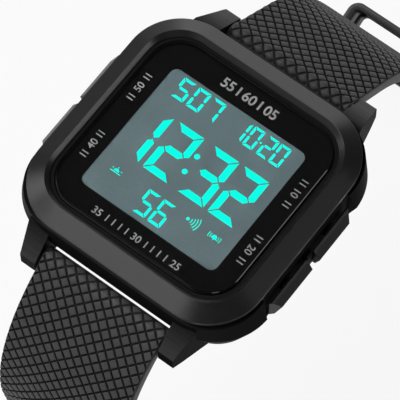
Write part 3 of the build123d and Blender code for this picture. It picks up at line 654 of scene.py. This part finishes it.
def strapLine(half, along):
    # the heading grows by each run's turn over its length, and its cosine and sine added up give the place
    marks = runEnds(half)
    turns = np.concatenate([[0], np.cumsum([t for r, t in half["runs"]])])
    fine = np.linspace(0, marks[-1], strapShape["linePoints"])
    heading = np.radians(half["heading"] + np.interp(fine, marks, turns))
    step = fine[1] - fine[0]
    out = np.concatenate([[0], np.cumsum((np.cos(heading[1:]) + np.cos(heading[:-1])) / 2 * step)])
    down = np.concatenate([[0], np.cumsum((np.sin(heading[1:]) + np.sin(heading[:-1])) / 2 * step)])
    inside = np.clip(along, 0, marks[-1])
    angle = np.interp(inside, fine, heading)
    past = along - inside
    y = half["start"][0] + np.interp(inside, fine, out) + past * np.cos(angle)
    z = half["start"][1] - np.interp(inside, fine, down) - past * np.sin(angle)
    return y, z, angle


def smoothStep(low, high, value):
    # a cubic rise from 0 to 1 between the two ends
    share = np.clip((value - low) / (high - low), 0, 1)
    return share * share * (3 - 2 * share)


def halfThickness(along):
    # the inner face bulges round the spring bar in an ellipse
    look = strapShape
    band = look["thickness"] / 2
    bulge = look["underside"] * np.sqrt(np.clip(1 - (along / look["barrel"]) ** 2, 0, 1))
    return np.where(along < 0, bulge, np.maximum(band, np.where(along < look["barrel"], bulge, 0)))


def outerThickness(along):
    # the outer face stays low over the spring bar and turns down before it in a quarter of an ellipse
    look = strapShape
    swell = look["swell"] * np.exp(-(np.clip(along, 0, None) / look["swellFade"]) ** 2)
    rise = look["thickness"] / 2 + swell
    return rise * np.sqrt(np.clip(1 - (np.minimum(along, 0) / look["barrel"]) ** 2, 0, 1))


def halfWidth(half, along):
    # straight sides that end in the tip's round corners
    wide = np.full(np.shape(along), strapShape["width"] / 2)
    if half["end"] == "tip":
        past = np.clip(along - (runEnds(half)[-1] - half["endRadius"]), 0, half["endRadius"])
        wide = wide - half["endRadius"] + np.sqrt(half["endRadius"] ** 2 - past ** 2)
    return wide


def onStrap(half, x, along, lift):
    # a point of the outer face: out along the strap's normal, or round the ellipse over the spring bar
    look = strapShape
    y, z, angle = strapLine(half, np.clip(along, 0, None))
    turn = np.minimum(along, 0) / ((look["barrel"] + look["thickness"] / 2) / 2)
    side = (look["barrel"] + lift) * np.sin(turn)
    rise = (outerThickness(np.clip(along, 0, None)) + lift) * np.cos(turn)
    py = (y + side * np.cos(angle) + rise * np.sin(angle)) * half["side"]
    pz = z - side * np.sin(angle) + rise * np.cos(angle)
    return np.stack(np.broadcast_arrays(x, py, pz), -1)


def buildStrapBase(half):
    # a ring of points round the bevelled section at each step along the middle line, with its outer face at
    # the level of the grooves
    look = strapShape
    length = runEnds(half)[-1]
    before, thinner = np.array(look["tipRounding"]).T
    lead = -look["barrel"] * np.cos(np.linspace(0, np.pi / 2, look["rootPoints"]))
    if half["end"] == "loop":
        steps = np.arange(look["firstStep"], length, look["step"])
        tail = length + half["endRadius"] * np.sin(np.linspace(0, np.pi / 2, look["loopPoints"]))
    else:
        steps = np.arange(look["firstStep"], length - look["tipRoom"], look["step"])
        tail = length - before
    s = np.concatenate([lead, steps, tail])
    inner, outer = halfThickness(s), outerThickness(s)
    if half["end"] == "loop":
        bulge = np.sqrt(np.clip(half["endRadius"] ** 2 - (s - length) ** 2, 0, None))
        inner = np.where(s > length, bulge, np.maximum(inner, bulge))
        fade = smoothStep(*(half["pads"][1] + past for past in look["grooveFade"]), s)
        outer = np.where(s > length, bulge, np.maximum(outer - look["grooveDepth"] * fade, bulge))
    else:
        outer = outer - look["grooveDepth"]
        inner[-len(before):] -= thinner
        outer[-len(before):] -= thinner
    root = outerThickness(s) * (1 - look["grooveDepth"] / look["thickness"] * look["rootSink"])
    outer = np.where(s < 0, root, outer)
    bevel = np.minimum(look["bevel"], inner * 0.5)
    top = np.minimum(look["topBevel"], np.clip(outer, 0, None) * 0.5)
    wide, inner, outer, bevel, top = (v[:, None] for v in (halfWidth(half, s), inner, outer, bevel, top))
    quarter = np.radians(np.linspace(0, 90, look["cornerPoints"]))
    near, far = 1 - np.sin(quarter), 1 - np.cos(quarter)
    x = np.concatenate([wide - top * near, wide - bevel * far,
                        -wide + bevel * near, -wide + top * far], axis=1)
    lift = np.concatenate([outer - top * far, -inner + bevel * near,
                           -inner + bevel * far, outer - top * near], axis=1)
    y, z, angle = (v[:, None] for v in strapLine(half, s))
    py = (y + lift * np.sin(angle)) * half["side"]
    pz = z + lift * np.cos(angle)
    rows, columns = x.shape
    # the face between a ring's last and first points is the outer one, down in the grooves, and takes the
    # painted groove shade
    grooved = np.zeros((rows - 1, columns), int)
    grooved[:, -1] = 1
    points = np.stack([x, py, pz], -1).reshape(-1, 3)
    return points, ringFaces(rows, columns), np.append(grooved.reshape(-1), [0, 0])


def nearHoles(half, x, along):
    # whether a pad's middle lies where a hole may cut it
    look = half["holes"]
    last = runEnds(half)[-1] - look["first"]
    first = last - (look["count"] - 1) * look["pitch"]
    beside = np.abs(x) < look["width"] / 2 + look["padReach"]
    return beside & (along > first - look["length"]) & (along < last + look["length"])


def padSquares(half):
    # the grooves are two sets of slanting lines, numbered i and j, and a pad lies between two lines of each:
    # its row along the strap is half their difference, and its column across is half their sum
    pitch = half["pitch"]
    along, rows, shifts = zip(*half["pattern"])
    wide = strapShape["width"] / 2
    first, last = np.interp(half["pads"], along, rows) + np.array([-1, 1])
    reach = wide / pitch + 1
    span = np.arange(int(-reach - last) - 2, int(reach + last) + 3)
    i, j = (grid.reshape(-1).astype(float) for grid in np.meshgrid(span, span))
    row, column = (i - j) / 2, (i + j) / 2
    shift = np.interp(np.interp(row, rows, along), along, shifts)
    keep = (row > first) & (row < last) & (np.abs(column * pitch + shift) < wide + pitch)
    return i[keep, None], j[keep, None]


def buildPads(half, cut=None):
    # rings of points round a pad's square, at its foot, its shoulder and its bevelled top, are held inside
    # the strap's outline, and a point over their middle gives the crown
    look = strapShape
    pitch = half["pitch"]
    along, rows, shifts = zip(*half["pattern"])
    low, high = half["pads"]
    i, j = padSquares(half)
    corner = np.array([(-1, -1), (1, -1), (1, 1), (-1, 1)], float)
    share = np.array([0, 1 / 3, 2 / 3])[:, None]
    ring = (corner[:, None] * (1 - share) + np.roll(corner, -1, 0)[:, None] * share).reshape(-1, 2)
    line = pitch / math.sqrt(2)
    fullSize = 0.5 - look["grooveWidth"] / 2 / line
    levels = ((0, -look["grooveDepth"] - look["padRoot"]), (0, -look["padBevel"]), (look["padBevel"], 0.0))
    layers, squares = [], []
    for inset, lift in levels:
        size = fullSize - inset / line
        u, v = i + size * ring[:, 0], j + size * ring[:, 1]
        t = np.interp((u - v) / 2, rows, along)
        x = (u + v) / 2 * pitch + np.interp(t, along, shifts)
        squares.append((x - x.mean(1)[:, None], t - t.mean(1)[:, None]))
        t = np.clip(t, low + inset, high - inset)
        edge = halfWidth(half, t + inset) - look["border"] - inset
        layers.append([np.clip(x, -edge, edge), t, np.full(x.shape, lift)])
    x, t = layers[-1][:2]
    middle = x.mean(1), t.mean(1)
    wide, long = np.ptp(x, axis=1), np.ptp(t, axis=1)
    solid = (wide > look["narrowest"]) & (long > look["narrowest"])
    if cut is not None:
        solid &= nearHoles(half, *middle) == cut
    flat, extra, fade = look["crown"]
    rise = flat + extra * np.exp(-np.clip(middle[1], 0, None) / fade)
    rise = rise * np.minimum(1, np.minimum(wide, long) / look["fullWidth"])
    apart = look["squareShare"]
    for layer, square in zip(layers, squares):
        for axis in (0, 1):
            whole = middle[axis][:, None] + 0.5 * square[axis]
            layer[axis] = (1 - apart) * layer[axis] + apart * whole
    points = [onStrap(half, *layer) for layer in layers] + [onStrap(half, *middle, rise)[:, None, :]]
    block = np.concatenate(points, axis=1)[solid]
    # a pad's faces: walls and bevels, its foot, and a fan of triangles up to the crown's point; the walls and
    # foot take the painted groove shade
    count = len(ring)
    crown = 3 * count
    fan = [[2 * count + k, 2 * count + (k + 1) % count, crown] for k in range(count)]
    padFaces = ringFaces(3, count)[:-1] + fan
    faces = [[first + k for k in face] for first in range(0, len(block) * (crown + 1), crown + 1)
             for face in padFaces]
    tones = np.tile([1] * count + [0] * count + [1] + [0] * count, len(block))
    smooth = np.tile([False] * (2 * count + 1) + [True] * count, len(block))
    return block.reshape(-1, 3), faces, tones, smooth


def finishPiece(name, points, faces, materials, tones, smooth, body, merge=True):
    mesh = newMesh(name, points, faces, materials, tones, smooth)
    tidy = bmesh.new()
    tidy.from_mesh(mesh)
    if merge:
        bmesh.ops.remove_doubles(tidy, verts=tidy.verts, dist=strapShape["mergeWithin"])
        bmesh.ops.dissolve_degenerate(tidy, edges=tidy.edges, dist=strapShape["mergeWithin"])
    bmesh.ops.recalc_face_normals(tidy, faces=tidy.faces)
    tidy.to_mesh(mesh)
    tidy.free()
    piece = addObject(name, mesh)
    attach(piece, body)
    return piece


def cutAway(piece, points, faces):
    # a boolean difference with a throwaway cutter, kept in the piece's mesh
    cutter = addObject("cutter", newMesh("cutter", points, faces))
    step = piece.modifiers.new("cut", "BOOLEAN")
    step.object = cutter
    step.solver = "EXACT"
    bpy.context.view_layer.update()
    result = bpy.data.meshes.new_from_object(piece.evaluated_get(bpy.context.evaluated_depsgraph_get()))
    piece.modifiers.remove(step)
    old = piece.data
    piece.data = result
    result.name = old.name
    result.set_sharp_from_angle(angle=math.radians(strapShape["sharpOver"]))
    bpy.data.meshes.remove(old)
    bpy.data.objects.remove(cutter)


def slotCutters(half):
    # round-ended slots through the strap, one at each hole's place along the middle line
    look = half["holes"]
    turn = np.radians(np.linspace(-90, 90, 9))
    radius = look["width"] / 2
    straight = (look["length"] - look["width"]) / 2
    right = np.column_stack([straight + radius * np.cos(turn), radius * np.sin(turn)])
    along, across = np.vstack([right, -right]).T
    parts = []
    for number in range(look["count"]):
        place = runEnds(half)[-1] - look["first"] - number * look["pitch"]
        y, z, angle = strapLine(half, np.array([place]))
        levels = []
        for lift in (-look["reach"], look["reach"]):
            py = (y + along * np.cos(angle) + lift * np.sin(angle)) * half["side"]
            pz = z - along * np.sin(angle) + lift * np.cos(angle)
            levels.append(np.column_stack([across, py, pz]))
        parts.append((np.vstack(levels), ringFaces(2, len(along))))
    return joinParts(parts)


def buildStrap(name, half, node, body):
    # the curved base and the pads on it, with the holes cut only through the pads near them
    # the second finish is the painted shade in the grooves and on the pads' walls
    resins = ["strapSkin", "paintedGrooveShade"]
    holes = "holes" in half
    points, faces, tones = buildStrapBase(half)
    base = finishPiece(name, points, faces, resins, tones, True, body)
    # each pad is closed and shares no point with the next
    points, faces, tones, smooth = buildPads(half, False if holes else None)
    pads = finishPiece(name.replace("Skin", "Pads"), points, faces, resins, tones, smooth, body, merge=False)
    if holes:
        cutter = slotCutters(half)
        cutAway(base, *cutter)
        points, faces, tones, smooth = buildPads(half, True)
        cutPads = finishPiece("cutPads", points, faces, resins, tones, smooth, body, merge=False)
        cutAway(cutPads, *cutter)
        both = bmesh.new()
        both.from_mesh(pads.data)
        both.from_mesh(cutPads.data)
        both.to_mesh(pads.data)
        both.free()
        bpy.data.objects.remove(cutPads)
    for piece in (base, pads):
        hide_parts(node)
        print(piece.name, len(piece.data.polygons), "faces")


buildStrap("strapUpperSkin", upperHalf, "strap_upper", "strap_upper_half")
buildStrap("strapLowerSkin", lowerHalf, "strap_lower", "strap_lower_half")


# keepers

buckleEnd = {
    # place of the buckle's bar as (y, z), and how far the upper half's end leans
    "bar": (64.976, -60.782), "lean": 22.0,
    # each keeper's node, body, distance from the bar and slack round the strap
    "keepers": {"keeperFixedLoop": ("keeper_fixed", "strap_upper_half", 4.9, 0.0),
                "keeperFreeLoop": ("keeper_free", "free_keeper", 10.2, 0.45)},
    # wall, length along the strap, width inside, room for the tail, and the radii inside and of the rim
    "wall": 1.25, "length": 5.0, "inside": 23.9, "tailRoom": 3.1, "corner": 0.9, "edge": 0.4,
}


def buildKeeper(name, node, body, start, slack):
    # a rounded strip section carried round a rounded rectangle, then leant over onto the strap's end
    look = buckleEnd
    inner = -strapShape["thickness"] / 2 - slack
    outer = strapShape["thickness"] / 2 + look["tailRoom"]
    half = np.array([look["inside"] / 2, (outer - inner) / 2]) - look["corner"]
    quarter = np.radians(np.linspace(0, 90, 8))
    corners = []
    for k, (sx, sy) in enumerate(((1, 1), (-1, 1), (-1, -1), (1, -1))):
        turn = quarter + k * np.pi / 2
        centre = np.full((len(turn), 2), (sx * half[0], sy * half[1]))
        corners.append(np.column_stack([np.cos(turn), np.sin(turn), centre]))
    outX, outY, centreX, centreY = (v[:, None] for v in np.vstack(corners).T)
    # the section: a flat inner face and a rounded outer one
    edge, wall, length = look["edge"], look["wall"], look["length"]
    rim = np.radians(np.linspace(0, 90, 5))
    across = np.concatenate([[0.0, 0.0], wall - edge + edge * np.sin(rim), wall - edge + edge * np.cos(rim)])
    along = np.concatenate([[edge / 2, length - edge / 2], length - edge + edge * np.cos(rim),
                            edge - edge * np.sin(rim)])
    away = look["corner"] + across
    x = centreX + outX * away
    y = centreY + outY * away + (inner + outer) / 2
    z = np.broadcast_to(start + along, x.shape)
    lean = math.radians(look["lean"])
    py = look["bar"][0] + y * math.cos(lean) - z * math.sin(lean)
    pz = look["bar"][1] + y * math.sin(lean) + z * math.cos(lean)
    points = np.stack([x, py, pz], -1).reshape(-1, 3)
    faces = ringFaces(*x.shape, joined=True)
    piece = finishPiece(name, points, faces, ["keeperResin"], 0, True, body)
    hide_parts(node)


for name, (node, body, start, slack) in buckleEnd["keepers"].items():
    buildKeeper(name, node, body, start, slack)
print("keepers", len(buckleEnd["keepers"]))


# studio

studio = {
    # the floor lies this many millimetres under the lowest point and is this many metres wide, and the sky
    # turns from white to grey between the two heights of the horizon
    "floorDrop": 0.02, "floorSize": 10.0, "floorColor": (0.55, 0.55, 0.55, 1), "floorRough": 0.8,
    "floorGlow": 0.90, "worldGrey": 0.06, "horizon": (-0.01, 0.03),
    # direction from the watch, distance, width and height, and power of each lamp
    "lamps": {
        "frontSoftbox": dict(way=(-0.42, -0.45, 0.79), distance=0.9, size=(0.9, 0.45), power=4.6),
        "keyPanel": dict(way=(-0.30, -0.15, 0.94), distance=1.0, size=(0.45, 0.45), power=5.2),
        "backSoftbox": dict(way=(-0.34, 0.93, 0.13), distance=0.9, size=(0.62, 0.3), power=1.06),
        "cornerPanel": dict(way=(-0.845, -0.272, 0.464), distance=0.9, size=(0.35, 0.35), power=1.4),
        "sideStrip": dict(way=(0.93, 0.31, 0.22), distance=0.9, size=(0.25, 0.5), power=1.7),
        "rimPanel": dict(way=(0.70, -0.62, 0.35), distance=0.9, size=(0.22, 0.22), power=0.4),
    },
}


def axesMatrix(right, up, back, place):
    return Matrix([[right[i], up[i], back[i], place[i]] for i in range(3)] + [[0, 0, 0, 1]])


def buildFloor():
    # the floor glows white to the lens, in reflections and through glass, and takes a shadow in its paint
    low = cadBox[0][2] / mm - studio["floorDrop"]
    half = studio["floorSize"] / mm / 2
    points = np.array([(-half, -half, low), (half, -half, low), (half, half, low), (-half, half, low)])
    floor = addObject("paleFloor", newMesh("paleFloor", points, [[0, 1, 2, 3]]))
    paint, tree, shader = newMaterial("paleFloor")
    setInputs(tree, shader, {"Base Color": studio["floorColor"], "Roughness": studio["floorRough"]})
    glow = addNode(tree, "ShaderNodeEmission", (0, -300), {"Strength": 1.0})
    paths = addNode(tree, "ShaderNodeLightPath", (-300, 300))
    rays = [paths.outputs["Is " + kind + " Ray"] for kind in ("Camera", "Glossy", "Transmission")]
    seen = combine(tree, (-150, 400), "MAXIMUM", rays[0], rays[1])
    passed = combine(tree, (-150, 250), "MAXIMUM", seen, rays[2])
    share = combine(tree, (0, 300), "MULTIPLY", passed, studio["floorGlow"])
    mixSurface(tree, share, shader.outputs["BSDF"], glow.outputs["Emission"])
    floor.data.materials.append(paint)


def buildWorld():
    # the sky is dim overhead and white near and below the level of the floor
    world = bpy.data.worlds.new("studioWorld")
    scene.world = world
    world.use_nodes = True
    tree = world.node_tree
    coords = addNode(tree, "ShaderNodeTexCoord", (-900, 0)).outputs["Generated"]
    height = addNode(tree, "ShaderNodeSeparateXYZ", (-700, 0), {"Vector": coords}).outputs["Z"]
    grey = remap(tree, (-500, 0), height, studio["horizon"], (1.0, studio["worldGrey"]))
    setInputs(tree, tree.nodes["Background"], {"Color": grey})


def buildLamps():
    # each lamp's back points away from the watch, and its width lies level
    for name, lamp in studio["lamps"].items():
        light = bpy.data.lights.new(name, "AREA")
        light.shape = "RECTANGLE"
        light.size, light.size_y = lamp["size"]
        light.energy = lamp["power"]
        back = np.array(lamp["way"]) / np.linalg.norm(lamp["way"])
        right = np.cross((0, 0, 1), back)
        right /= np.linalg.norm(right)
        holder = addObject(name, light)
        holder.matrix_world = axesMatrix(right, np.cross(back, right), back, back * lamp["distance"])
    print("studio", len(studio["lamps"]), "lamps")


cameraSetup = {
    "azimuth": 37.528, "elevation": 65.861, "roll": -0.536, "distance": 461.997, "aim": (0.0, 0.0, 13.4),
    "slide": (-0.821, 5.690), "lens": 270.03, "sensor": 36.0, "clipStart": 0.01,
}


def buildCamera():
    # the lens looks back along its azimuth and elevation, and slides sideways and up off the aim point
    look = cameraSetup
    az, el, roll = (math.radians(look[k]) for k in ("azimuth", "elevation", "roll"))
    back = np.array([math.sin(az) * math.cos(el), -math.cos(az) * math.cos(el), math.sin(el)])
    level = np.array([math.cos(az), math.sin(az), 0.0])
    rise = np.cross(back, level)
    right = math.cos(roll) * level + math.sin(roll) * rise
    up = -math.sin(roll) * level + math.cos(roll) * rise
    aside, above = look["slide"]
    place = (np.array(look["aim"]) - aside * right - above * up + look["distance"] * back) * mm
    lens = bpy.data.cameras.new("photoCamera")
    lens.lens = look["lens"]
    lens.sensor_width = look["sensor"]
    lens.clip_start = look["clipStart"]
    camera = addObject("photoCamera", lens)
    camera.matrix_world = axesMatrix(right, up, back, place)
    scene.camera = camera


buildFloor()
buildWorld()
buildLamps()
buildCamera()
scene.view_settings.view_transform = "Standard"
